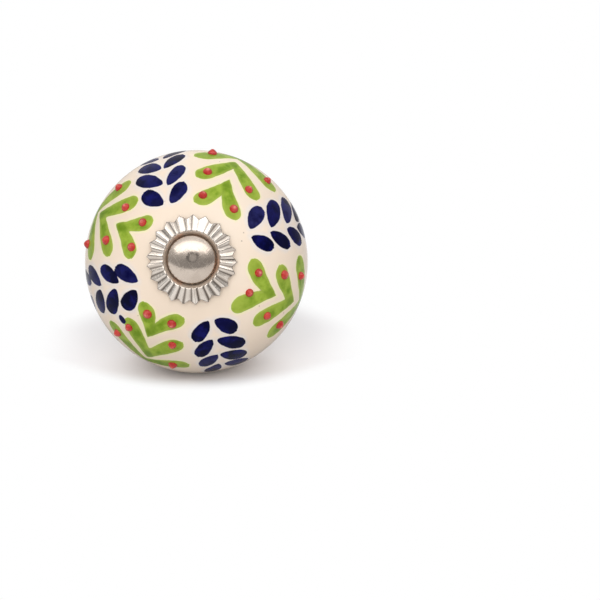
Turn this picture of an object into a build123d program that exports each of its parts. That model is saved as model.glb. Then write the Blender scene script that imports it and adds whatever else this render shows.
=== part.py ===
import os
from math import asin, cos, degrees, radians, sin, sqrt, tan

from build123d import *

# Sizes in millimetres. The knob's axis is Y: the face looks towards -Y, the bolt's tip points to +Y.
# The origin is on the axis, at the flat of the cup's crown, which draws up against the panel.

# Glazed ceramic body, an oval turned about the axis
ceramic_radius = 20.0
ceramic_half_depth = 16.7
neck_overhang = 0.1  # how far the glaze stands proud of the cup's wall
shoulder_gap = 0.05  # between the ceramic shoulder and the cup's edge
spigot_gap = 0.15  # round the ceramic spigot inside the cup

# Raised drops of red enamel, fired on the glaze
dot_radius = 0.85
dot_rise = 0.85
dot_tip_radius = 0.4
dot_tip_fillet = 0.3
# Degrees round the axis from +X towards +Z, and degrees away from the front pole
dot_angles = [
    (81, 35), (51, 35), (81, 52), (52, 52), (81, 76), (48, 73),
    (143, 33), (168, 33), (142, 49), (167, 52), (136, 69), (171, 75),
    (230, 38), (252, 36), (226, 55), (256, 50), (223, 69), (258, 70),
    (349, 36), (330, 35), (351, 54), (323, 54), (352, 71), (323, 70),
]

# Back cup, pressed from sheet: a short wall, a flat rim and a coned crown with a flat centre
cup_radius = 15.05
cup_wall_height = 2.7
cup_sheet = 0.6
cup_edge_fillet = 0.9
rim_width = 2.4
rim_fold_fillet = 0.8
crown_rise = 4.05
crown_land = 0.4  # flat left round the washer
crown_fillet = 1.6

# Bolt with a domed head
head_radius = 4.2
head_rim = 1.6
head_height = 3.3
thread_radius = 2.35
shank_radius = 2.05  # thread's effective radius, where nut and bolt flanks meet
bolt_reach = 33.2  # from the cup's crown to the tip
tip_radius = 1.35
tip_length = 1.0
bore_clearance = 0.3  # round the thread in each hole that it passes through
thread_gap = 0.02  # between nut and bolt flanks
nut_face_gap = 0.1  # between the outer nut's face and the free thread

# Rosette under the head: a dished washer with a pleated skirt and a pointed edge
rosette_sheet = 0.45
rosette_radius = 8.0
rosette_points = 21
point_depth = 0.7
point_overhang = 0.6  # past the ceramic's flat seat
blank_margin = 0.3  # trimmed off the pleated blank when its points are cut
pleat_count = 32
pleat_depth = 0.6
groove_share = 0.4  # of each pleat's turn
head_gap = 0.25  # round the head in the dish
dish_flare = 0.6
lip_height = 2.3

# Washer and two hexagon nuts
washer_radius = 6.65
washer_thickness = 1.35
washer_chamfer = 0.2
nut_across_flats = 7.8
nut_thickness = 3.95
nut_chamfer_angle = 30.0
nut_mouth_chamfer = 0.45
inner_nut_angle = 22.0
outer_nut_angle = 54.0

# Distances forward of the crown, towards the face
bore_radius = thread_radius + bore_clearance
rim_inside = crown_rise + cup_sheet
cup_front = crown_rise + cup_wall_height
shoulder_forward = cup_front + shoulder_gap
neck_radius = cup_radius + neck_overhang
spigot_radius = cup_radius - cup_sheet - spigot_gap
front_seat_radius = rosette_radius - point_overhang
shoulder_depth = ceramic_half_depth * sqrt(1 - (neck_radius / ceramic_radius) ** 2)
equator_forward = shoulder_forward + shoulder_depth
front_seat = equator_forward + ceramic_half_depth * sqrt(1 - (front_seat_radius / ceramic_radius) ** 2)
head_seat = front_seat + rosette_sheet

# Distances behind the crown, towards the bolt's tip
inner_nut_back = washer_thickness
outer_nut_back = inner_nut_back + nut_thickness
free_thread_back = outer_nut_back + nut_thickness + nut_face_gap

# Half sections are drawn with x forward along the axis and y outward from it
half_section = Plane(origin=(0, 0, 0), x_dir=(0, -1, 0), z_dir=(-1, 0, 0))


def behind(distance):
    return Plane.XZ.offset(-distance)


# Ceramic body: the oval between neck and front seat, with a spigot for the cup
with BuildPart() as ceramic_body:
    with BuildSketch(half_section):
        with Locations((equator_forward, 0)):
            Ellipse(ceramic_half_depth, ceramic_radius)
        with Locations((shoulder_forward, bore_radius)):
            Rectangle(
                front_seat - shoulder_forward,
                ceramic_radius,
                align=(Align.MIN, Align.MIN),
                mode=Mode.INTERSECT,
            )
        with Locations((rim_inside, bore_radius)):
            Rectangle(
                shoulder_forward - rim_inside,
                spigot_radius - bore_radius,
                align=(Align.MIN, Align.MIN),
            )
    revolve(axis=Axis.Y)
    spigot_back = ceramic_body.edges().filter_by(GeomType.CIRCLE).group_by(Axis.Y)[-1]
    chamfer(spigot_back.sort_by(SortBy.RADIUS)[-1], cup_edge_fillet)
ceramic_body.part.label = "ceramic_body"


def glaze_plane(around, from_pole):
    """Plane on the glaze at these two angles, with its z axis straight out."""
    turn, lean = radians(around), radians(from_pole)
    outward = ceramic_radius * sin(lean)
    forward = equator_forward + ceramic_half_depth * cos(lean)
    normal_out, normal_forward = sin(lean) / ceramic_radius, cos(lean) / ceramic_half_depth
    return Plane(
        origin=(outward * cos(turn), -forward, outward * sin(turn)),
        z_dir=(normal_out * cos(turn), -normal_forward, normal_out * sin(turn)),
    )


# Enamel dots: blunt drops that stand on the glaze
with BuildPart() as enamel_dots:
    with Locations(*[glaze_plane(*angles) for angles in dot_angles]):
        Cone(dot_radius, dot_tip_radius, dot_rise, align=(Align.CENTER, Align.CENTER, Align.MIN))
    fillet(enamel_dots.edges().filter_by(GeomType.CIRCLE).group_by(SortBy.RADIUS)[0], dot_tip_fillet)
enamel_dots.part.label = "enamel_dots"

# Back cup: one even sheet, drawn along its outer face
with BuildPart() as back_cup:
    with BuildSketch(half_section):
        with BuildLine():
            FilletPolyline(
                (cup_front, cup_radius),
                (crown_rise, cup_radius),
                (crown_rise, cup_radius - rim_width),
                (0, washer_radius + crown_land),
                (0, bore_radius),
                radius=[cup_edge_fillet, rim_fold_fillet, crown_fillet],
            )
            offset(amount=cup_sheet, side=Side.LEFT)
        make_face()
    revolve(axis=Axis.Y)
back_cup.part.label = "back_cup"

# Bolt: domed head, shank through the knob and free thread at its effective and full size
with BuildPart() as dome_bolt:
    with BuildSketch(half_section):
        with BuildLine():
            dome_top = (head_seat + head_height, 0)
            dome_foot = (head_seat + head_rim, head_radius)
            dome_rise = head_height - head_rim
            dome_ball = (head_radius**2 + dome_rise**2) / (2 * dome_rise)
            RadiusArc(dome_top, dome_foot, -dome_ball)
            Polyline(
                dome_foot,
                (head_seat, head_radius),
                (head_seat, shank_radius),
                (-free_thread_back, shank_radius),
                (-free_thread_back, thread_radius),
                (tip_length - bolt_reach, thread_radius),
                (-bolt_reach, tip_radius),
                (-bolt_reach, 0),
                dome_top,
            )
        make_face()
    revolve(axis=Axis.Y)
dome_bolt.part.label = "dome_bolt"

# Fold lines of the skirt all run to one point on the axis, so each fold is flat
dish_radius = head_radius + head_gap
lip_radius = dish_radius + dish_flare
blank_radius = rosette_radius + blank_margin
ridge_edge_height = rosette_sheet + pleat_depth
ridge_slope = (lip_height - ridge_edge_height) / (rosette_radius - lip_radius)
apex_height = lip_height + ridge_slope * lip_radius
groove_slope = (apex_height - rosette_sheet) / rosette_radius

# One pleat of the blank, upright on the axis: a groove, a flat ridge and a groove
with BuildPart() as pleat:
    half_pleat = 180 / pleat_count
    half_ridge = half_pleat * (1 - groove_share)
    for turn, slope in (
        (-half_pleat, groove_slope),
        (-half_ridge, ridge_slope),
        (half_ridge, ridge_slope),
        (half_pleat, groove_slope),
    ):
        fold = radians(turn)
        wall_radius = lip_radius + rosette_sheet
        outward, sideways = (cos(fold), sin(fold), 0), (sin(fold), -cos(fold), 0)
        with BuildSketch(Plane(origin=(0, 0, 0), x_dir=outward, z_dir=sideways)):
            with BuildLine():
                Polyline(
                    (thread_radius, 0),
                    (thread_radius, rosette_sheet),
                    (dish_radius, rosette_sheet),
                    (lip_radius, apex_height - slope * lip_radius),
                    (blank_radius, apex_height - slope * blank_radius),
                    (blank_radius, apex_height - slope * blank_radius - rosette_sheet),
                    (wall_radius, apex_height - slope * wall_radius - rosette_sheet),
                    (dish_radius + rosette_sheet, 0),
                    close=True,
                )
            make_face()
    loft(ruled=True)

# Rosette: a ring of pleats, then the bore and the points cut through it
with BuildPart(Plane.XZ.offset(front_seat)) as front_rosette:
    with PolarLocations(0, pleat_count):
        add(pleat.part)
    with BuildSketch(Plane.XZ.offset(front_seat)):
        with BuildLine():
            step = radians(180 / rosette_points)
            reaches = [rosette_radius, rosette_radius - point_depth] * rosette_points
            Polyline(*[(r * cos(i * step), r * sin(i * step)) for i, r in enumerate(reaches)], close=True)
        make_face()
        Circle(bore_radius, mode=Mode.SUBTRACT)
    extrude(amount=apex_height, both=True, mode=Mode.INTERSECT)
front_rosette.part.label = "front_rosette"

# Washer on the cup's crown
with BuildPart() as washer:
    with BuildSketch(Plane.XZ):
        Circle(washer_radius)
        Circle(bore_radius, mode=Mode.SUBTRACT)
    extrude(amount=-washer_thickness)
    chamfer(washer.edges().filter_by(GeomType.CIRCLE).group_by(SortBy.RADIUS)[-1], washer_chamfer)
washer.part.label = "washer"


def hex_nut(back, angle):
    """Hexagon nut whose near face lies this far behind the crown, chamfered at both ends."""
    corner_radius = nut_across_flats / 2 / cos(radians(30))
    chamfer_height = (corner_radius - nut_across_flats / 2) * tan(radians(nut_chamfer_angle))
    far = back + nut_thickness
    with BuildPart() as nut:
        with BuildSketch(behind(back)):
            RegularPolygon(nut_across_flats / 2, 6, major_radius=False, rotation=angle)
            Circle(shank_radius + thread_gap, mode=Mode.SUBTRACT)
        extrude(amount=-nut_thickness)
        chamfer(nut.edges().filter_by(GeomType.CIRCLE), nut_mouth_chamfer)
        with BuildSketch(half_section):
            with BuildLine():
                Polyline(
                    (-back, 0),
                    (-back, nut_across_flats / 2),
                    (-back - chamfer_height, corner_radius),
                    (-far + chamfer_height, corner_radius),
                    (-far, nut_across_flats / 2),
                    (-far, 0),
                    close=True,
                )
            make_face()
        revolve(axis=Axis.Y, mode=Mode.INTERSECT)
    return nut.part


inner_nut = hex_nut(inner_nut_back, inner_nut_angle)
inner_nut.label = "inner_nut"
outer_nut = hex_nut(outer_nut_back, outer_nut_angle)
outer_nut.label = "outer_nut"

os.makedirs("parts", exist_ok=True)
export_step(ceramic_body.part, "parts/ceramic_body.step")
export_step(enamel_dots.part, "parts/enamel_dots.step")
export_step(back_cup.part, "parts/back_cup.step")
export_step(dome_bolt.part, "parts/dome_bolt.step")
export_step(front_rosette.part, "parts/front_rosette.step")
export_step(washer.part, "parts/washer.step")
export_step(inner_nut, "parts/inner_nut.step")
export_step(outer_nut, "parts/outer_nut.step")
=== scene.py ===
import math
import random

import bmesh
import bpy
import numpy as np
from mathutils import Matrix, Vector


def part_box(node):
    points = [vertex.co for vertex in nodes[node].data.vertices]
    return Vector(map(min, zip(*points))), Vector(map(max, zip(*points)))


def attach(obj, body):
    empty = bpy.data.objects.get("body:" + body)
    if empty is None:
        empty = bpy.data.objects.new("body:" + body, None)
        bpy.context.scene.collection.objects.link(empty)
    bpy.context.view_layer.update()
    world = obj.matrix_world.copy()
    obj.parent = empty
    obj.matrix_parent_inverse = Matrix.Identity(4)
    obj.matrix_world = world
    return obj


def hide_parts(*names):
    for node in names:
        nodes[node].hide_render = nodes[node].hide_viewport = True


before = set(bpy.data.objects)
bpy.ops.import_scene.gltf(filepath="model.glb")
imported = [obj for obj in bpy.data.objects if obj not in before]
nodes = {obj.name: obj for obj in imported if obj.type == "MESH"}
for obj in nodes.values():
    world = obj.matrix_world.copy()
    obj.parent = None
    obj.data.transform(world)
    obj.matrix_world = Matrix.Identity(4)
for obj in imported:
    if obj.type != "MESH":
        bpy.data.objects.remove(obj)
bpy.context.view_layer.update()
mm = 0.001
print("frame loaded:", len(nodes), "nodes")


# wraps a socket, so that shader maths reads as Python
class Shade:
    def __init__(self, tree, socket=None):
        self.tree = tree
        self.socket = socket

    def add(self, kind, settings=None, sockets=None, output=0):
        node = self.tree.nodes.new("ShaderNode" + kind)
        for key, value in (settings or {}).items():
            setattr(node, key, value)
        for key, value in (sockets or {}).items():
            if isinstance(value, Shade):
                self.tree.links.new(value.socket, node.inputs[key])
            else:
                node.inputs[key].default_value = value
        return Shade(self.tree, node.outputs[output] if node.outputs else None)

    def math(self, operation, first, second):
        return self.add("Math", {"operation": operation}, {0: first, 1: second})

    def __add__(self, other):
        return self.math("ADD", self, other)

    def __radd__(self, other):
        return self.math("ADD", other, self)

    def __sub__(self, other):
        return self.math("SUBTRACT", self, other)

    def __rsub__(self, other):
        return self.math("SUBTRACT", other, self)

    def __mul__(self, other):
        return self.math("MULTIPLY", self, other)

    def __rmul__(self, other):
        return self.math("MULTIPLY", other, self)

    def larger(self, other):
        return self.math("MAXIMUM", self, other)

    def ease(self, low, high):  # 0 at low, 1 at high
        return self.add("MapRange", {"interpolation_type": "SMOOTHSTEP"},
                        {"Value": self, "From Min": low, "From Max": high})

    def over(self, under, colour):  # this mask lays a colour on another
        return self.add("Mix", {"data_type": "RGBA"}, {0: self, 6: under, 7: colour}, 2)

    def field(self, name):  # a value that the mesh carries
        return self.add("Attribute", {"attribute_name": name}, None, 2)

    def spot(self):  # object coordinates
        return self.add("TexCoord", None, None, 3)

    def place(self, stretch=(1, 1, 1), turn=(0, 0, 0)):
        scale = [1 / s for s in stretch]
        return self.add("Mapping", {"vector_type": "TEXTURE"},
                        {"Vector": self.spot(), "Rotation": turn, "Scale": scale})

    def aside(self):  # from the knob's axis, square to it
        return self.add("VectorMath", {"operation": "MULTIPLY"}, {0: self.place(), 1: (1, 0, 1)})

    def noise(self, scale, detail=2.0, rough=0.5, **mapping):
        return self.add("TexNoise", None, {"Vector": self.place(**mapping), "Scale": scale,
                                           "Detail": detail, "Roughness": rough})


def tint(red, green, blue):  # display values from 0 to 255
    linear = [v / 3294.6 if v <= 10 else ((v / 255 + 0.055) / 1.055) ** 2.4 for v in (red, green, blue)]
    return (*linear, 1.0)


def newFinish(name):
    material = bpy.data.materials.new(name)
    material.use_nodes = True
    material.node_tree.nodes.clear()
    return material, Shade(material.node_tree)


def closeFinish(shade, sockets):
    surface = shade.add("BsdfPrincipled", None, sockets)
    shade.add("OutputMaterial", None, {"Surface": surface})


def linkMesh(name, bm, finish):
    mesh = bpy.data.meshes.new(name)
    bm.to_mesh(mesh)
    bm.free()
    piece = bpy.data.objects.new(name, mesh)
    bpy.context.scene.collection.objects.link(piece)
    mesh.materials.append(finish)
    return piece


def newPiece(name, bm, finish, slot, *stands):
    piece = linkMesh(name, bm, finish)
    faces = piece.data.polygons
    faces.foreach_set("use_smooth", [True] * len(faces))
    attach(piece, "root")
    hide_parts(*stands)
    return piece


def stagePiece(name, bm, finish):
    piece = linkMesh(name, bm, finish)
    return piece


def dressNode(name, finish):
    data = nodes[name].data
    data.materials.clear()
    data.materials.append(finish)


def closeSpin(bm, steps):  # turns a profile all round the knob's axis
    bmesh.ops.spin(bm, geom=bm.verts[:] + bm.edges[:], cent=(0, 0, 0), axis=(0, 1, 0),
                   angle=2 * math.pi, steps=steps, use_merge=True)
    bmesh.ops.remove_doubles(bm, verts=bm.verts, dist=1e-7)


def arcRun(bm, start, centre, angle, steps):  # swings one vertex, from the front pole outwards
    vert = bm.verts.new(start)
    bmesh.ops.spin(bm, geom=[vert], cent=centre, axis=(-1, 0, 0), angle=angle, steps=steps)


def addRun(bm, vert, spots):  # straight runs of the turned profile, as forward and radius in mm
    for forward, radius in spots:
        nextVert = bm.verts.new((0, -forward * mm, radius * mm))
        bm.edges.new((vert, nextVert))
        vert = nextVert
    return vert


def mergeInto(bm, part):
    held = bpy.data.meshes.new("held")
    part.to_mesh(held)
    part.free()
    bm.from_mesh(held)
    bpy.data.meshes.remove(held)


# painted ceramic
ceramic = {
    "halfDepth": 16.7,
    "seatRadius": 7.4,
    "neckRadius": 15.15,
    "spigotRadius": 14.3,
    "spigotChamfer": 0.9,
    "boreRadius": 2.65,
    "stepsRound": 420,
    "stepsAlong": 120,
    "sharpFrom": 35,
    # leaf strokes: round the axis, from the front pole, length, width, lean, bend
    "leaves": [
        (123, 40, 4.7, 2.9, 22, 0.1), (119.2, 53.3, 5.7, 2.95, 38, 0.15),
        (115.6, 65.8, 5.0, 3.1, 40, 0.1), (114.5, 79, 4.4, 2.5, 42, 0.1),
        (102.8, 37.5, 4.6, 2.6, -37, -0.1), (102.2, 50.6, 5.1, 2.5, -35, -0.1),
        (102, 65.5, 5.2, 2.6, -40, -0.1), (101.5, 79, 5.3, 2.6, -42, 0.0),
        (34, 41.8, 4.9, 2.75, 24, 0.1), (30.4, 55, 5.7, 3.0, 40, 0.1),
        (28.8, 69.2, 5.9, 3.05, 40, 0.1), (26, 83, 5.6, 2.8, 30, 0.1),
        (14.2, 39.4, 4.6, 2.5, -34, -0.1), (13.7, 52.4, 4.9, 2.5, -37, -0.1),
        (14.2, 67, 4.8, 2.8, -33, -0.1), (16.5, 81, 4.8, 2.6, -12, 0.0),
        (-148, 40.8, 4.5, 2.9, 16, 0.1), (-153.4, 53.3, 5.2, 2.95, 35, 0.1),
        (-157, 65.8, 4.8, 3.1, 42, 0.1), (-158, 84, 4.6, 2.8, 24, 0.1),
        (-167.6, 36.7, 5.0, 2.65, -38, -0.1), (-170, 48.8, 4.9, 2.6, -38, -0.1),
        (-171.2, 64.6, 5.2, 2.6, -40, -0.1), (-171, 77, 4.6, 2.5, -24, 0.0),
        (-63.3, 40, 4.6, 2.75, 31, 0.1), (-65.3, 52.7, 5.4, 2.75, 45, 0.1),
        (-67.4, 64.8, 5.2, 2.8, 48, 0.1), (-68, 77, 5.0, 2.8, 44, 0.1),
        (-83, 39.2, 4.6, 2.55, -36, -0.1), (-82.6, 51.7, 4.7, 2.55, -38, -0.1),
        (-81.6, 64, 4.4, 2.6, -46, -0.1), (-80.4, 76.7, 4.6, 2.6, -28, 0.0),
        (-140.8, 54.7, 1.8, 1.3, 70, 0.0),  # a dab that slipped off the brush
    ],
    # chevrons: one arm's end, the apex, the other arm's end, each round the axis and from the pole,
    # and the arms' widths
    "chevrons": [
        ((88, 30.5), (66, 46), (42.5, 31), 2.5, 2.7),
        ((88, 47.5), (67.5, 67.5), (43.5, 50), 2.7, 2.5),
        ((90, 68), (68, 84), (41, 69), 3.1, 3.0),
        ((134.5, 29), (155, 44.5), (178.5, 32), 2.4, 2.5),
        ((132.5, 45.5), (153.5, 66.5), (177, 47.5), 2.6, 2.5),
        ((129, 63), (153, 80), (179.5, 67), 2.8, 2.8),
        ((0.5, 31), (-23.5, 47.5), (-51.5, 33), 2.7, 2.7),
        ((-3.5, 49), (-22.5, 67), (-46.5, 49.5), 2.7, 2.7),
        ((2.5, 67), (-20.5, 85), (-46, 67.5), 3.0, 3.0),
        ((-140, 34.5), (-121, 47.5), (-98, 31), 2.7, 2.5),
        ((-139, 50), (-116.5, 67.5), (-97.5, 47), 2.7, 2.6),
        ((-144.5, 66), (-117, 79), (-93, 67), 2.6, 2.5),
    ],
    "leafPoint": 0.62,  # how sharp a leaf's two ends are
    "leafRound": 0.42,
    "leafSwell": 1.05,  # how far paint ran past the strokes above
    "armSwell": 1.12,
    "apexShare": 0.62,  # of an arm's width, at the apex
    "fullFrom": 0.7,  # share of an arm's length at which it has its full width
    "bulb": 0.6,  # of an arm's width, rounded off at its end
    "armBow": 0.4,
    "leafNear": 6,  # no stroke lies further from its middle or apex than this
    "armNear": 15,
    "bare": 3.0,  # distance to paint that bare glaze starts with
    "seed": 5,
    "creams": (tint(248, 229, 208), tint(251, 234, 215)),
    "pinhole": tint(112, 82, 62),
    "greenBleed": tint(248, 245, 186),
    "blueBleed": tint(230, 229, 234),
    "greens": (tint(110, 146, 28), tint(166, 190, 70)),
    "greenEnd": tint(166, 184, 76),
    "greenEdge": tint(174, 190, 86),
    "greenCross": tint(106, 138, 30),  # where two arms overlap
    "blues": (tint(0, 2, 40), tint(16, 19, 94)),
    "blueStart": tint(10, 10, 82),
    "blueThin": tint(40, 42, 98),
    "paintEdge": 0.07,
    "gloss": 0.06,
}
bodyLow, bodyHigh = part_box("ceramic_body")
bodyRadius = bodyHigh.x / mm
seatAngle = math.asin(ceramic["seatRadius"] / bodyRadius)
neckAngle = math.pi - math.asin(ceramic["neckRadius"] / bodyRadius)
equator = -bodyLow.y / mm - ceramic["halfDepth"] * math.cos(seatAngle)  # forward of the origin


def onOval(angle, polar):  # a spot on the glaze, and the ways away from the pole and round the axis
    a, p = math.radians(angle), math.radians(polar)
    depth = ceramic["halfDepth"]
    spot = np.array([bodyRadius * math.sin(p) * math.cos(a), -equator - depth * math.cos(p),
                     bodyRadius * math.sin(p) * math.sin(a)])
    outward = np.array([bodyRadius * math.cos(p) * math.cos(a), depth * math.sin(p),
                        bodyRadius * math.cos(p) * math.sin(a)])
    rounding = np.array([-math.sin(a), 0, math.cos(a)])
    return spot, outward / np.linalg.norm(outward), rounding


def leafReach(points, stroke):
    angle, polar, length, width, lean, bend = stroke
    length, width = length * ceramic["leafSwell"], width * ceramic["leafSwell"]
    spot, outward, rounding = onOval(angle, polar)
    c, s = math.cos(math.radians(lean)), math.sin(math.radians(lean))
    u = (points - spot) @ (c * outward + s * rounding)
    v = (points - spot) @ (c * rounding - s * outward)
    v = v - bend * (1 - (2 * u / length) ** 2)
    t = np.clip(u / length + 0.5, 0, 1)
    point, blunt = ceramic["leafPoint"], ceramic["leafRound"]
    widest = point / (point + blunt)
    half = width / 2 * (t / widest) ** point * ((1 - t) / (1 - widest)) ** blunt
    beyond = np.maximum(np.abs(u) - length / 2, 0)
    return np.where(beyond > 0, np.hypot(v, beyond), np.abs(v) - half), t


def armReach(points, end, apex, width):
    width = width * ceramic["armSwell"]
    tip, low = onOval(*end)[0], onOval(*apex)[0]
    length = np.linalg.norm(tip - low)
    along = (tip - low) / length
    facing = (tip + low) / 2 - np.array([0, -equator, 0])
    across = np.cross(facing / np.linalg.norm(facing), along)
    across = across * -np.sign(across[1])  # towards the front pole
    u, v = (points - low) @ along, (points - low) @ across
    t = np.clip(u / length, 0, 1)
    v = v - ceramic["armBow"] * 4 * t * (1 - t)
    swell = np.clip(t / ceramic["fullFrom"], 0, 1)
    swell = swell * swell * (3 - 2 * swell)
    half = width / 2 * (ceramic["apexShare"] + (1 - ceramic["apexShare"]) * swell)
    bulb = ceramic["bulb"] * width / length
    half = half * np.sqrt(1 - np.clip((t - 1 + bulb) / bulb, 0, 1) ** 2)
    beyond = np.maximum(u - length, -u - width)  # runs on past the apex, where the two arms meet
    reach = np.where(beyond > 0, np.hypot(np.maximum(np.abs(v) - half, 0), beyond), np.abs(v) - half)
    return reach, t, -v - half


def paintFields(points):  # distance to the nearest stroke, with its tone and how far along it
    chance = random.Random(ceramic["seed"])
    leaf = np.full(len(points), ceramic["bare"])
    arm, cross = leaf.copy(), leaf.copy()
    tone, along = np.full(len(points), 0.5), np.full(len(points), 0.5)
    for stroke in ceramic["leaves"]:
        near = np.linalg.norm(points - onOval(*stroke[:2])[0], axis=1) < ceramic["leafNear"]
        reach, t = leafReach(points[near], stroke)
        nearer = reach < leaf[near]
        leaf[near] = np.where(nearer, reach, leaf[near])
        tone[near] = np.where(nearer, chance.random(), tone[near])
        along[near] = np.where(nearer, t, along[near])
    for first, apex, second, firstWidth, secondWidth in ceramic["chevrons"]:
        near = np.linalg.norm(points - onOval(*apex)[0], axis=1) < ceramic["armNear"]
        reachA, alongA, outsideA = armReach(points[near], first, apex, firstWidth)
        reachB, alongB, outsideB = armReach(points[near], second, apex, secondWidth)
        cross[near] = np.minimum(cross[near], np.maximum(reachA, reachB))
        reachA, reachB = np.maximum(reachA, outsideB), np.maximum(reachB, outsideA)  # a squared corner
        reach = np.minimum(reachA, reachB)
        nearer = (reach < arm[near]) & (reach < leaf[near])
        tone[near] = np.where(nearer, chance.random(), tone[near])
        along[near] = np.where(nearer, np.where(reachA < reachB, alongA, alongB), along[near])
        arm[near] = np.minimum(arm[near], reach)
    return {"leafReach": leaf, "armReach": arm, "crossReach": cross, "strokeTone": tone, "strokeAlong": along}


def glazeFinish():
    finish, sh = newFinish("painted glaze")
    wobble = sh.noise(560, 3) - 0.5
    leaf = sh.field("leafReach") + 0.42 * wobble
    arm = sh.field("armReach") + 0.4 * wobble
    cross = sh.field("crossReach") + 0.3 * wobble
    tone, along = sh.field("strokeTone"), sh.field("strokeAlong")

    # cream body, with drifts of tone and brown pinholes
    cream = sh.noise(60, 3).ease(0.3, 0.7).over(*ceramic["creams"])
    cells = {"Vector": sh.place(), "Scale": 430.0}
    chosen = sh.add("SeparateColor", None, {0: sh.add("TexVoronoi", None, cells, 1)})
    pinhole = sh.add("TexVoronoi", None, cells).ease(0.07, 0.035) * chosen.ease(0.4, 0.42)
    cream = (0.5 * pinhole).over(cream, ceramic["pinhole"])

    # green bleeds a little yellow into the glaze, blue a cold edge
    cream = (0.6 * arm.ease(0.6, 0.0)).over(cream, ceramic["greenBleed"])
    cream = (0.5 * leaf.ease(1.2, -0.1)).over(cream, ceramic["blueBleed"])

    # green is paler towards an arm's end and its edges, blue where it is thinly laid
    brush = sh.noise(420, 3, 0.6)
    green = brush.ease(0.3, 0.7).over(*ceramic["greens"])
    green = (0.6 * tone * along.ease(0.3, 0.9)).over(green, ceramic["greenEnd"])
    green = (0.6 * arm.ease(-0.75, 0.0)).over(green, ceramic["greenEdge"])
    green = (0.6 * cross.ease(0.3, -0.5)).over(green, ceramic["greenCross"])
    blue = brush.ease(0.42, 0.72).over(*ceramic["blues"])
    blue = (0.5 * tone * along.ease(0.9, 0.4)).over(blue, ceramic["blueStart"])
    blue = (0.7 * tone.ease(0.55, 0.95) * brush.ease(0.3, 0.6)).over(blue, ceramic["blueThin"])
    edge = ceramic["paintEdge"]
    colour = arm.ease(edge, -edge).over(cream, green)
    colour = leaf.ease(edge, -edge).over(colour, blue)

    # paint lies slightly proud under a rippled glaze
    relief = 0.04 * leaf.ease(0.15, -0.15).larger(arm.ease(0.15, -0.15))
    height = relief + 0.05 * sh.noise(140, 2) + 0.012 * sh.noise(700, 2) - 0.05 * pinhole
    bump = sh.add("Bump", None, {"Height": height, "Distance": mm, "Strength": 0.6})
    closeFinish(sh, {"Base Color": colour, "Normal": bump, "IOR": 1.5, "Specular IOR Level": ceramic["gloss"],
                     "Roughness": 0.1 + 0.08 * sh.noise(260, 3) + 0.06 * leaf.ease(0.1, -0.1)})
    return finish


def makeCeramic():
    bm = bmesh.new()
    start = (0, -math.cos(seatAngle), math.sin(seatAngle))
    arcRun(bm, start, (0, 0, 0), neckAngle - seatAngle, ceramic["stepsAlong"])
    bmesh.ops.scale(bm, verts=bm.verts, vec=(bodyRadius * mm, ceramic["halfDepth"] * mm, bodyRadius * mm))
    bmesh.ops.translate(bm, verts=bm.verts, vec=(0, -equator * mm, 0))
    shoulder = max(bm.verts, key=lambda v: v.co.y)
    seat = min(bm.verts, key=lambda v: v.co.y)
    back = -bodyHigh.y / mm
    bore, spigot, chamfer = [ceramic[name] for name in ("boreRadius", "spigotRadius", "spigotChamfer")]
    inner = addRun(bm, seat, [(-seat.co.y / mm, bore), (back, bore)])
    outer = addRun(bm, shoulder, [(-shoulder.co.y / mm, spigot), (back + chamfer, spigot),
                                  (back, spigot - chamfer)])
    bm.edges.new((outer, inner))
    closeSpin(bm, ceramic["stepsRound"])
    bmesh.ops.recalc_face_normals(bm, faces=bm.faces)
    piece = newPiece("glazedBody", bm, glazeFinish(), "glaze", "ceramic_body")
    data = piece.data
    spots = np.empty(len(data.vertices) * 3)
    data.vertices.foreach_get("co", spots)
    for name, values in paintFields(spots.reshape(-1, 3) / mm).items():
        data.attributes.new(name, "FLOAT", "POINT").data.foreach_set("value", values.astype(np.float32))
    data.set_sharp_from_angle(angle=math.radians(ceramic["sharpFrom"]))
    print("painted ceramic:", len(data.polygons), "faces")


makeCeramic()

# red enamel drops
drops = {
    # round the axis, from the front pole
    "spots": [
        (81, 35), (51, 35), (81, 52), (52, 52), (81, 76), (48, 73),
        (143, 33), (168, 33), (142, 49), (167, 52), (136, 69), (171, 75),
        (230, 38), (252, 36), (226, 55), (256, 50), (223, 69), (258, 70),
        (349, 36), (330, 35), (351, 54), (323, 54), (352, 71), (323, 70),
    ],
    "radius": 0.83,
    "rise": 0.85,
    "sunk": (0.25, 0.9),  # depth of the foot in the glaze, and its share of the radius
    "root": 0.4,  # depth at the middle of the foot
    # a drawn-up flank and a blunt tip, as shares of rise and radius
    "flank": [(0.25, 0.93), (0.5, 0.76), (0.76, 0.49), (0.93, 0.26), (1, 0)],
    "highlightShare": 0.5,  # of the radius, where a paler painted highlight lies on the tip
    "spread": 0.07,  # how much the drops differ
    "lean": 0.12,
    "stepsRound": 20,
    "seed": 11,
    "reds": (tint(180, 36, 32), tint(206, 64, 54)),
    # the painted highlight's colour
    "tip": tint(240, 146, 132),
}


def enamelFinish():
    finish, sh = newFinish("red enamel")
    colour = sh.noise(900, 3).ease(0.3, 0.7).over(*drops["reds"])
    # painted highlight: paler red at each drop's tip, broken up by noise
    paintedHighlight = sh.field("tip") * sh.noise(1600, 2).ease(0.35, 0.6)
    colour = paintedHighlight.over(colour, drops["tip"])
    bump = sh.add("Bump", None, {"Height": sh.noise(1400, 2), "Distance": 0.05 * mm, "Strength": 0.5})
    closeFinish(sh, {"Base Color": colour, "Roughness": 0.16 + 0.14 * sh.noise(700, 2),
                     "Normal": bump, "IOR": 1.5})
    return finish


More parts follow.
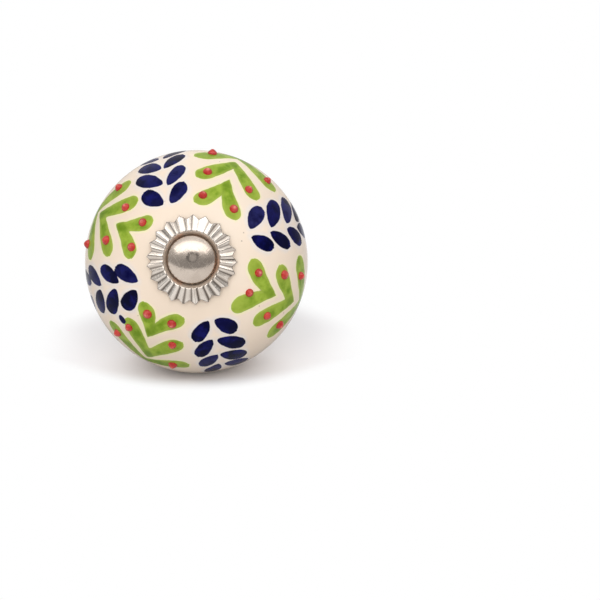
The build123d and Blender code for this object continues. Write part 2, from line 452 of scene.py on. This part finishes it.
def makeDrops():
    bm = bmesh.new()
    chance = random.Random(drops["seed"])
    for angle, polar in drops["spots"]:
        spot, outward, rounding = onOval(angle, polar)
        facing = np.cross(outward, rounding)
        wide = drops["radius"] * (1 + drops["spread"] * chance.uniform(-1, 1))
        rise = drops["rise"] * (1 + drops["spread"] * chance.uniform(-1, 0))
        one = bmesh.new()
        depth, footShare = drops["sunk"]
        vert = one.verts.new((0, drops["root"] * mm, 0))
        vert = addRun(one, vert, [(-depth, wide * footShare), (0.0, wide)])
        addRun(one, vert, [(rise * up, wide * share) for up, share in drops["flank"]])
        closeSpin(one, drops["stepsRound"])
        # painted highlight: 1 at the drop's tip, falling to 0 outwards on its upper side
        tip = one.verts.layers.float.new("tip")
        for vert in one.verts:
            reach = math.hypot(vert.co.x, vert.co.z) / (drops["highlightShare"] * wide * mm)
            vert[tip] = max(0.0, 1 - reach) if vert.co.y < 0 else 0.0
        leanX, leanZ = [chance.uniform(-drops["lean"], drops["lean"]) for way in "XZ"]
        lean = Matrix.Rotation(leanX, 4, "X") @ Matrix.Rotation(leanZ, 4, "Z")
        seat = Matrix((rounding, -facing, -outward)).transposed().to_4x4()
        seat.translation = Vector(spot) * mm
        bmesh.ops.transform(one, matrix=seat @ lean, verts=one.verts)
        mergeInto(bm, one)
    bmesh.ops.recalc_face_normals(bm, faces=bm.faces)
    piece = newPiece("enamelDrops", bm, enamelFinish(), "red_enamel", "enamel_dots")
    smooth = piece.modifiers.new("soft", "SUBSURF")
    smooth.levels = smooth.render_levels = 1
    print("red drops:", len(drops["spots"]))


makeDrops()

# stamped rosette
rosette = {
    "boreRadius": 2.65,
    "dishRadius": 4.3,
    "lipRadius": 5.15,
    "lipHeight": 2.3,
    "edgeRadius": 8.0,
    "edgeHeight": 1.05,
    "sheet": 0.4,
    "floor": 0.45,
    "corner": (0.15, 0.12),  # of the dish's floor and wall
    # the dish's flared wall: height, and how far outside the dish's radius
    "wall": [(0.9, 0.04), (1.2, 0.11), (1.5, 0.23), (1.8, 0.39), (2.05, 0.56), (2.22, 0.71)],
    "brownTo": (0.2, 0.12),  # inside the lip: where the dish's brown painted shade ends, and how softly
    "pleats": 32,
    "pleatDepth": 0.36,
    "pleatFlank": 0.42,  # share of a pleat that falls into its groove
    "pleatStart": 0.6,  # share of its depth that a pleat has at the lip
    "lipBlend": 0.4,  # inside the lip, where pleats begin
    "creaseDepth": 0.14,  # a lesser crease along the middle of some pleats
    "creaseShare": 0.11,
    "creaseStart": 0.3,
    "grooveDrift": 0.12,  # how unevenly the stamp struck
    "depthSpread": (0.7, 1.15),
    "creaseSpread": (-0.6, 1.0),
    "foldSpread": (0.42, 0.58),
    "pointSpread": (0.0, 0.2),
    "grooveShadeRamp": (2.2, 1.2),  # painted shade: how steeply it darkens into a groove, and how narrow it stays
    "grooveShadeBelow": 0.42,  # how much wider the painted shade lies in the lower grooves
    # where the points stand, in degrees round the axis
    "points": [13, 31, 52, 72, 88, 106, 124, 142, 158, 176, 188, 205, 221, 244, 259, 275, 291, 308, 324,
               342, 357],
    "pointDepth": 0.8,
    "pointHollow": 1.2,  # how hollow the cut is between two points
    "edgeBand": 0.16,
    "rows": 9,
    "stepsPleat": 18,
    "sharpFrom": 24,
    "seed": 3,
    "nickel": (tint(224, 214, 204), tint(246, 239, 231), 0.12, 0.3),  # dull, bright, roughness, scuffs
    # painted shade: dark streaks, dark grooves, a dark outer edge and a brown dish
    "crease": tint(160, 147, 134),
    "groove": tint(96, 84, 74),
    "paintedEdgeShade": tint(104, 92, 82),
    "browns": (tint(202, 184, 166), tint(208, 172, 146)),
}


def nickelFinish(name, dull, bright, rough, scuffs, paintedShade=None):
    finish, sh = newFinish(name)
    cloud = sh.noise(180, 3)
    colour = cloud.ease(0.35, 0.65).over(dull, bright)
    metallic = 1.0
    # a finish may lay painted shade over its colour
    if paintedShade:
        colour, metallic = paintedShade(sh, colour)
    lines = sh.noise(480, 1, stretch=(20, 5, 1), turn=(0, 0.75, 0)).ease(0.6, 0.7)
    lines = lines.larger(sh.noise(400, 1, stretch=(24, 5, 1), turn=(0, -0.5, 0)).ease(0.61, 0.7))
    height = 0.1 * cloud + 0.2 * sh.noise(1000, 2) - scuffs * lines
    bump = sh.add("Bump", None, {"Height": height, "Distance": 0.05 * mm, "Strength": 0.35})
    closeFinish(sh, {"Base Color": colour, "Metallic": metallic, "Normal": bump,
                     "Roughness": rough + 0.1 * sh.noise(400, 3) + 0.12 * lines})
    return finish


def rosettePaintedShade(sh, colour):  # painted shade: dark streaks, dark grooves and cut edge, and a brown dish
    outward = sh.add("VectorMath", {"operation": "NORMALIZE"}, {0: sh.aside()})
    # painted shade: random dark radial streaks, as shaded creases
    crease = sh.add("TexNoise", None, {"Vector": outward, "Scale": 38.0, "Detail": 2.0})
    patch = sh.noise(350, 2)
    colour = (0.6 * crease.ease(0.43, 0.33)).over(colour, rosette["crease"])
    # painted shade along the bottom of each groove
    colour = (0.7 * sh.field("groove")).over(colour, rosette["groove"])
    # painted shade along the sheet's outer edge, in patches
    colour = (sh.field("paintedEdgeShade") * (0.4 + 0.6 * patch.ease(0.35, 0.6))).over(colour, rosette["paintedEdgeShade"])
    # brown painted shade over the dish, which is also made less metallic
    brown = patch.ease(0.52, 0.66).over(*rosette["browns"])
    dish = sh.field("dish")
    return dish.over(colour, brown), 1 - 0.8 * dish


def skirtHeight(r):
    share = (r - rosette["lipRadius"]) / (rosette["edgeRadius"] - rosette["lipRadius"])
    return rosette["lipHeight"] + (rosette["edgeHeight"] - rosette["lipHeight"]) * share


def between(stops, turn):  # which two stops a turn lies between, and how far along
    at = turn if turn >= stops[0] else turn + 1
    k = max(i for i in range(len(stops) - 1) if stops[i] <= at + 1e-9)
    return k, (at - stops[k]) / (stops[k + 1] - stops[k])


def within(value):
    return min(1.0, max(0.0, value))


def turnRosette(base):
    dish, lip, edge = rosette["dishRadius"], rosette["lipRadius"], rosette["edgeRadius"]
    floor, rows = rosette["floor"], rosette["rows"]
    inset, up = rosette["corner"]
    bm = bmesh.new()
    start = bm.verts.new((0, -(base + floor) * mm, rosette["boreRadius"] * mm))
    runs = [(floor, dish - inset), (floor + up, dish)]
    runs += [(height, dish + flare) for height, flare in rosette["wall"]]
    runs.append((rosette["lipHeight"], lip))
    radii = [lip + (edge - lip) * i / rows for i in range(1, rows)]
    runs += [(skirtHeight(r), r) for r in radii + [edge - rosette["edgeBand"], edge]]
    addRun(bm, start, [(base + h, r) for h, r in runs])
    closeSpin(bm, rosette["pleats"] * rosette["stepsPleat"])
    return bm


def makeRosette():
    base = -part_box("front_rosette")[1].y / mm  # the face it sits on
    bm = turnRosette(base)
    groove, paintedEdgeShade, inDish = [bm.verts.layers.float.new(name) for name in ("groove", "paintedEdgeShade", "dish")]
    lip, edge, blend = rosette["lipRadius"], rosette["edgeRadius"], rosette["lipBlend"]
    brownTo, brownBlend = rosette["brownTo"]
    grooveShadeRate, grooveShadeFrom = rosette["grooveShadeRamp"]
    pleatStart, creaseStart = rosette["pleatStart"], rosette["creaseStart"]

    # no two pleats or points are quite alike
    chance = random.Random(rosette["seed"])
    each, drift = range(rosette["pleats"]), rosette["grooveDrift"]
    grooves = [(k + chance.uniform(-drift, drift)) / rosette["pleats"] for k in each]
    grooves.append(grooves[0] + 1)
    depths = [chance.uniform(*rosette["depthSpread"]) for k in each]
    creases = [rosette["creaseDepth"] * max(0.0, chance.uniform(*rosette["creaseSpread"])) for k in each]
    folds = [chance.uniform(*rosette["foldSpread"]) for k in each]
    tips = [angle / 360 for angle in rosette["points"]]
    tips.append(tips[0] + 1)
    reaches = [chance.uniform(*rosette["pointSpread"]) for k in range(len(tips) - 1)]
    reaches.append(reaches[0])

    for vert in bm.verts:
        x, z = vert.co.x / mm, vert.co.z / mm
        r = math.hypot(x, z)
        turn = math.atan2(z, x) / (2 * math.pi) % 1.0
        # brown painted shade over the dish inside the lip
        vert[inDish] = within((lip - brownTo - r) / brownBlend)
        # painted shade on the sheet's outermost ring
        vert[paintedEdgeShade] = 1.0 if r > edge - 1e-4 else 0.0
        if r > lip - blend:
            # pointed edge: between two tips the sheet is cut back
            k, share = between(tips, turn)
            cut = rosette["pointDepth"] * (1 - abs(2 * share - 1) ** rosette["pointHollow"])
            cut += reaches[k] * (1 - share) + reaches[k + 1] * share
            stretch = max(0.0, (r - lip) / (edge - lip))
            newR = r - cut * stretch
            # pleats: ridges with straight flanks and sharp grooves
            k, share = between(grooves, turn)
            dip = max(0.0, 1 - min(share, 1 - share) / rosette["pleatFlank"])
            fold = max(0.0, 1 - abs(share - folds[k]) / rosette["creaseShare"])
            fall = rosette["pleatDepth"] * depths[k] * (pleatStart + (1 - pleatStart) * stretch) * dip
            fall += creases[k] * fold * (creaseStart + (1 - creaseStart) * stretch)
            fall *= within((r - lip + blend) / blend)
            # painted shade: each groove darkens towards its bottom, more widely in the lower half
            grooveShadeRamp = grooveShadeFrom - rosette["grooveShadeBelow"] * max(0.0, -z / r)
            vert[groove] = depths[k] * max(0.0, dip * grooveShadeRate - grooveShadeRamp) if r > lip - 0.05 else 0.0
            height = (-vert.co.y / mm - base) if r <= lip else skirtHeight(newR)
            vert.co = Vector((x * newR / r, -(base + height - fall), z * newR / r)) * mm
    bmesh.ops.recalc_face_normals(bm, faces=bm.faces)
    if sum(f.normal.y for f in bm.faces) > 0:
        bmesh.ops.reverse_faces(bm, faces=bm.faces)
    finish = nickelFinish("rosette nickel", *rosette["nickel"], rosettePaintedShade)
    piece = newPiece("stampedRosette", bm, finish, "rosette_metal", "front_rosette")
    wall = piece.modifiers.new("sheet", "SOLIDIFY")
    wall.thickness = rosette["sheet"] * mm
    wall.offset = -1
    piece.data.set_sharp_from_angle(angle=math.radians(rosette["sharpFrom"]))
    print("rosette:", rosette["pleats"], "pleats,", len(rosette["points"]), "points")


makeRosette()

# bolt with a domed head and a cut thread
bolt = {
    "headRadius": 4.2,
    "domeRise": 1.7,
    "rimBevel": 0.3,
    "shankRadius": 2.05,
    "pitch": 25.4 / 24,
    "crestRadius": 2.35,
    "rootRadius": 1.98,
    # one turn of the thread: shares of the pitch
    "flank": [(0.1, "rootRadius"), (0.42, "crestRadius"), (0.68, "crestRadius"), (1, "rootRadius")],
    "threadFrom": -9.35,
    "tipLength": 1.0,
    "tipRadius": 1.35,
    "stepsTurn": 30,
    "stepsHead": 96,
    "stepsDome": 28,
    "sharpFrom": 30,
    "nickel": (tint(204, 190, 178), tint(224, 211, 199), 0.13, 0.28),
}


def turnHead(headTop):
    headSeat = -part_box("front_rosette")[1].y / mm + rosette["floor"]
    radius, rise = bolt["headRadius"], bolt["domeRise"]
    bm = bmesh.new()
    ball = (radius ** 2 + rise ** 2) / (2 * rise)
    cap = math.asin(radius / ball)
    arcRun(bm, (0, -headTop * mm, 0), (0, -(headTop - ball) * mm, 0), cap, bolt["stepsDome"])
    end = max(bm.verts, key=lambda v: v.co.z)
    addRun(bm, end, [(headSeat, radius), (headSeat, bolt["shankRadius"]),
                     (bolt["threadFrom"], bolt["shankRadius"]), (bolt["threadFrom"], 0)])
    closeSpin(bm, bolt["stepsHead"])
    foot = headTop - rise
    rim = [e for e in bm.edges if all(abs(v.co.y + foot * mm) < 1e-5 for v in e.verts)]
    bmesh.ops.bevel(bm, geom=rim, offset=bolt["rimBevel"] * mm, segments=4, profile=0.5, affect="EDGES",
                    material=-1)
    bmesh.ops.recalc_face_normals(bm, faces=bm.faces)
    return bm


def cutThread(tip):  # one turn's flank, screwed along the bolt
    screw = bmesh.new()
    pitch, start = bolt["pitch"], bolt["threadFrom"]
    first = start + pitch
    vert = screw.verts.new((0, -first * mm, bolt["rootRadius"] * mm))
    addRun(screw, vert, [(first - share * pitch, bolt[name]) for share, name in bolt["flank"]])
    turns = math.ceil((start - tip) / pitch) + 2
    bmesh.ops.spin(screw, geom=screw.verts[:] + screw.edges[:], cent=(0, 0, 0), axis=(0, 1, 0),
                   dvec=(0, pitch / bolt["stepsTurn"] * mm, 0), angle=2 * math.pi * turns,
                   steps=turns * bolt["stepsTurn"])
    bmesh.ops.remove_doubles(screw, verts=screw.verts, dist=2e-6)
    for end, side in ((start, -1), (tip, 1)):
        whole = screw.verts[:] + screw.edges[:] + screw.faces[:]
        bmesh.ops.bisect_plane(screw, geom=whole, plane_co=(0, -end * mm, 0), plane_no=(0, side, 0),
                               clear_outer=True)
    # the chamfered tip runs down through the thread
    slope = (bolt["crestRadius"] - bolt["tipRadius"]) / bolt["tipLength"]
    for vert in screw.verts:
        r = math.hypot(vert.co.x, vert.co.z) / mm
        most = bolt["tipRadius"] + slope * (-vert.co.y / mm - tip)
        if r > most:
            vert.co.x *= most / r
            vert.co.z *= most / r
    border = [e for e in screw.edges if e.is_boundary]
    for end in (start, tip):
        loop = [e for e in border if all(abs(v.co.y + end * mm) < 1e-6 for v in e.verts)]
        bmesh.ops.contextual_create(screw, geom=loop)
    bmesh.ops.recalc_face_normals(screw, faces=screw.faces)
    return screw


def makeBolt():
    low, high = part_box("dome_bolt")
    bm = turnHead(-low.y / mm)
    mergeInto(bm, cutThread(-high.y / mm))
    finish = nickelFinish("bolt nickel", *bolt["nickel"])
    piece = newPiece("domeBolt", bm, finish, "bolt_metal", "dome_bolt")
    piece.data.set_sharp_from_angle(angle=math.radians(bolt["sharpFrom"]))
    print("bolt:", len(piece.data.polygons), "faces")


makeBolt()

# cup, washer and nuts keep their solids
cup = {
    "nickel": (tint(216, 200, 186), tint(234, 220, 206), 0.1, 0.3),
    "mottle": tint(168, 152, 134),
    "rimFrom": 12.6,  # polished outside this radius, satin inside it
    "rimBlend": 0.7,
    "satin": 0.28,
}
washer = {"nickel": (tint(220, 212, 204), tint(236, 230, 224), 0.08, 0.3)}
nuts = {"nickel": (tint(190, 174, 152), tint(218, 203, 184), 0.16, 0.5)}


def cupFinish(dull, bright, rough, scuffs):
    finish, sh = newFinish("cup nickel")
    reach = sh.add("VectorMath", {"operation": "LENGTH"}, {0: sh.aside()}, 1)
    satin = reach.ease((cup["rimFrom"] + cup["rimBlend"]) * mm, (cup["rimFrom"] - cup["rimBlend"]) * mm)
    cloud = sh.noise(160, 3)
    colour = cloud.ease(0.35, 0.65).over(dull, bright)
    mottle = sh.noise(1400, 4, 0.65).ease(0.53, 0.66) * sh.noise(170, 2).ease(0.42, 0.6)
    colour = (0.55 * mottle * satin).over(colour, cup["mottle"])
    lines = sh.noise(300, 1, stretch=(1, 3, 26), turn=(0, 0.4, 0)).ease(0.62, 0.7)
    height = 0.15 * cloud + 0.35 * mottle * satin - scuffs * lines
    bump = sh.add("Bump", None, {"Height": height, "Distance": 0.05 * mm, "Strength": 0.35})
    closeFinish(sh, {"Base Color": colour, "Metallic": 1.0, "Normal": bump,
                     "Roughness": rough + cup["satin"] * satin + 0.08 * cloud})
    return finish


dressNode("back_cup", cupFinish(*cup["nickel"]))
dressNode("washer", nickelFinish("washer nickel", *washer["nickel"]))
nutFinish = nickelFinish("nut nickel", *nuts["nickel"])
dressNode("inner_nut", nutFinish)
dressNode("outer_nut", nutFinish)
print("cup, washer and nuts dressed")

# stage: a pale floor that the knob leans on, soft light from above, in front and behind
stage = {
    "tilt": 20.45,  # the knob rests on its belly and the bolt's tip
    "floorAt": -14.36,
    "floorHalf": 0.5,
    "floorForward": 0.36,
    "floorTint": (0.997, 0.99, 1.007),
    "floorWhite": 0.56,
    "floorSeen": 0.93,  # as the camera sees it, so that the open floor is white
    "fadeAside": (0.02, 0.031),  # where the floor fades to white: beside the axis, in front and behind
    "fadeFront": (0.0173, 0.0235),
    "fadeBow": 18,  # how fast the front edge draws back towards the sides
    "fadeBehind": (0.02, 0.085),
    "fadeNarrow": 0.012,  # how much sooner the sides fade behind the knob's belly
    "narrowFrom": (0.004, 0.024),
    "sky": 0.39,
    "fillSize": (0.5, 0.5),
    "fillReach": 0.6,
    "fillAim": (0, -0.018, 0),
    # power, degrees above the knob's axis, turn round it
    "fills": {
        "frontFill": (2.0, 7, 0),
        "backFill": (2.4, 48, 180),
    },
    "boxPower": 0.4,
    "boxSize": (0.8, 0.2),
    "boxHeight": 0.3,
    "boxForward": 0.15,
}
stageTurn = Matrix.Rotation(math.radians(stage["tilt"]), 4, "X")
stageTurn.translation = Vector((0, 0, stage["floorAt"] * mm))


def seenRays(shade):  # what the camera, metal and glass see
    camera, glossy, clear = [shade.add("LightPath", None, None, i) for i in (0, 3, 6)]
    return camera.larger(glossy).larger(clear)


def addLamp(name, power, size, spot):
    lamp = bpy.data.lights.new(name, "AREA")
    lamp.shape = "RECTANGLE"
    lamp.size, lamp.size_y = size
    lamp.energy = power
    piece = bpy.data.objects.new(name, lamp)
    bpy.context.scene.collection.objects.link(piece)
    piece.matrix_world = spot
    piece.visible_glossy = False  # metal sees the cards instead


def makeFloor():
    bm = bmesh.new()
    bmesh.ops.create_grid(bm, x_segments=2, y_segments=2, size=stage["floorHalf"])
    bmesh.ops.translate(bm, verts=bm.verts, vec=(0, -stage["floorForward"], 0))
    bmesh.ops.transform(bm, matrix=stageTurn, verts=bm.verts)
    finish, sh = newFinish("pale floor")
    spot = sh.spot()
    x, y = [sh.add("SeparateXYZ", None, {0: spot}, i) for i in (0, 1)]
    aside = x.larger(0 - x) + stage["fadeNarrow"] * y.ease(*stage["narrowFrom"])
    away = aside.ease(*stage["fadeAside"])
    ahead = stage["fadeBow"] * x * x - y
    away = away.larger(ahead.ease(*stage["fadeFront"])).larger(y.ease(*stage["fadeBehind"]))
    white = stage["floorWhite"] + (stage["floorSeen"] - stage["floorWhite"]) * sh.add("LightPath")
    tone = {i: share * white for i, share in enumerate(stage["floorTint"])}
    plain = sh.add("BsdfDiffuse", None, {"Color": sh.add("CombineColor", None, tone)})
    bright = sh.add("Emission", None, {"Color": (1, 1, 1, 1), "Strength": 1.0})
    surface = sh.add("MixShader", None, {0: seenRays(sh) * away, 1: plain, 2: bright})
    sh.add("OutputMaterial", None, {"Surface": surface})
    stagePiece("floor", bm, finish)


def makeLight():
    world = bpy.data.worlds.new("studio")
    bpy.context.scene.world = world
    world.use_nodes = True
    world.node_tree.nodes.clear()
    sh = Shade(world.node_tree)
    level = stage["sky"] + (1 - stage["sky"]) * seenRays(sh)
    back = sh.add("Background", None, {"Color": (1, 1, 1, 1), "Strength": level})
    sh.add("OutputWorld", None, {"Surface": back})

    spot = stageTurn @ Matrix.Translation((0, -stage["boxForward"], stage["boxHeight"]))
    addLamp("softbox", stage["boxPower"], stage["boxSize"], spot)
    for name, (power, rise, turn) in stage["fills"].items():
        turned = Matrix.Rotation(math.radians(turn), 4, "Z")
        aim = turned @ Matrix.Rotation(math.radians(90 - rise), 4, "X")
        spot = Matrix.Translation(stage["fillAim"]) @ aim @ Matrix.Translation((0, 0, stage["fillReach"]))
        addLamp(name, power, stage["fillSize"], spot)


# cards that only reflections show
cards = {
    "glow": (1, 0.98, 0.96, 1),
    "roomRadius": 0.75,
    "shadeRise": (-0.15, 0.75),  # heights between which a card brightens
    # elevations, middle and width round the knob, low and high level
    "rooms": {
        "dimRoom": (-30, 90, 0, 180, 0.3, 0.88),
        "dimBack": (-35, 50, 180, 170, 0.3, 0.95),
    },
    # the dark spot that a lens and its hood leave in the dome: place, radius and level
    "lenses": {
        "lensHood": (0.02, -0.53, 0.115, 0.2, 0.1),
        "lensGlass": (0.03, -0.52, 0.06, 0.11, 0.46),
    },
    # start and end in front of the knob, height above the floor, level
    "flats": {
        "dimFloor": (0.158, 0.66, 0.0005, 0.24),
        "paleFloor": (0.04, 0.158, 0.0005, 0.87),
        "paleBox": (0.045, 0.27, 0.299, 1.95),  # the softbox as metal shows it
    },
    "flatWidth": 0.8,
}


def addCard(name, bm, low, high):  # dimmer below, brighter above
    finish, sh = newFinish(name)
    rise = sh.add("SeparateXYZ", None, {0: sh.spot()}, 2).ease(*cards["shadeRise"])
    glow = sh.add("Emission", None, {"Color": cards["glow"], "Strength": low + (high - low) * rise})
    sh.add("OutputMaterial", None, {"Surface": glow})
    card = stagePiece(name, bm, finish)
    card.visible_camera = card.visible_diffuse = card.visible_shadow = card.visible_transmission = False


def makeCards():
    for name, (low, high, middle, width, dark, pale) in cards["rooms"].items():
        bm = bmesh.new()
        low, high, half = math.radians(low), math.radians(high), math.radians(width / 2)
        start = (0, -cards["roomRadius"] * math.cos(low), cards["roomRadius"] * math.sin(low))
        arcRun(bm, start, (0, 0, 0), high - low, 12)
        turn = Matrix.Rotation(math.radians(middle) - half, 3, "Z")
        bmesh.ops.rotate(bm, verts=bm.verts, cent=(0, 0, 0), matrix=turn)
        bmesh.ops.spin(bm, geom=bm.verts[:] + bm.edges[:], cent=(0, 0, 0), axis=(0, 0, 1),
                       angle=2 * half, steps=24)
        addCard(name, bm, dark, pale)
    for name, (x, y, z, radius, level) in cards["lenses"].items():
        bm = bmesh.new()
        bmesh.ops.create_circle(bm, cap_ends=True, segments=24, radius=radius)
        upright = Matrix.Rotation(math.radians(90), 3, "X")
        bmesh.ops.rotate(bm, verts=bm.verts, cent=(0, 0, 0), matrix=upright)
        bmesh.ops.translate(bm, verts=bm.verts, vec=(x, y, z))
        addCard(name, bm, level, level)
    for name, (start, end, height, level) in cards["flats"].items():
        bm = bmesh.new()
        bmesh.ops.create_grid(bm, x_segments=1, y_segments=1, size=0.5)
        bmesh.ops.scale(bm, verts=bm.verts, vec=(cards["flatWidth"], end - start, 1))
        bmesh.ops.translate(bm, verts=bm.verts, vec=(0, -(start + end) / 2, height))
        bmesh.ops.transform(bm, matrix=stageTurn, verts=bm.verts)
        addCard(name, bm, level, level)


makeFloor()
makeLight()
makeCards()
print("stage ready")

view = {
    "spot": (0.02513, -0.51731, -0.00996),
    "look": (-0.01309, 0.99990, 0.00611),
    "lens": 167.06,
    "sensor": 36,
    "clip": 0.01,
}
camera = bpy.data.objects.new("camera", bpy.data.cameras.new("camera"))
bpy.context.scene.collection.objects.link(camera)
camera.location = view["spot"]
camera.rotation_euler = Vector(view["look"]).to_track_quat("-Z", "Y").to_euler()
camera.data.lens = view["lens"]
camera.data.sensor_width = view["sensor"]
camera.data.clip_start = view["clip"]
bpy.context.scene.camera = camera
bpy.context.scene.view_settings.view_transform = "Standard"

bpy.context.view_layer.update()
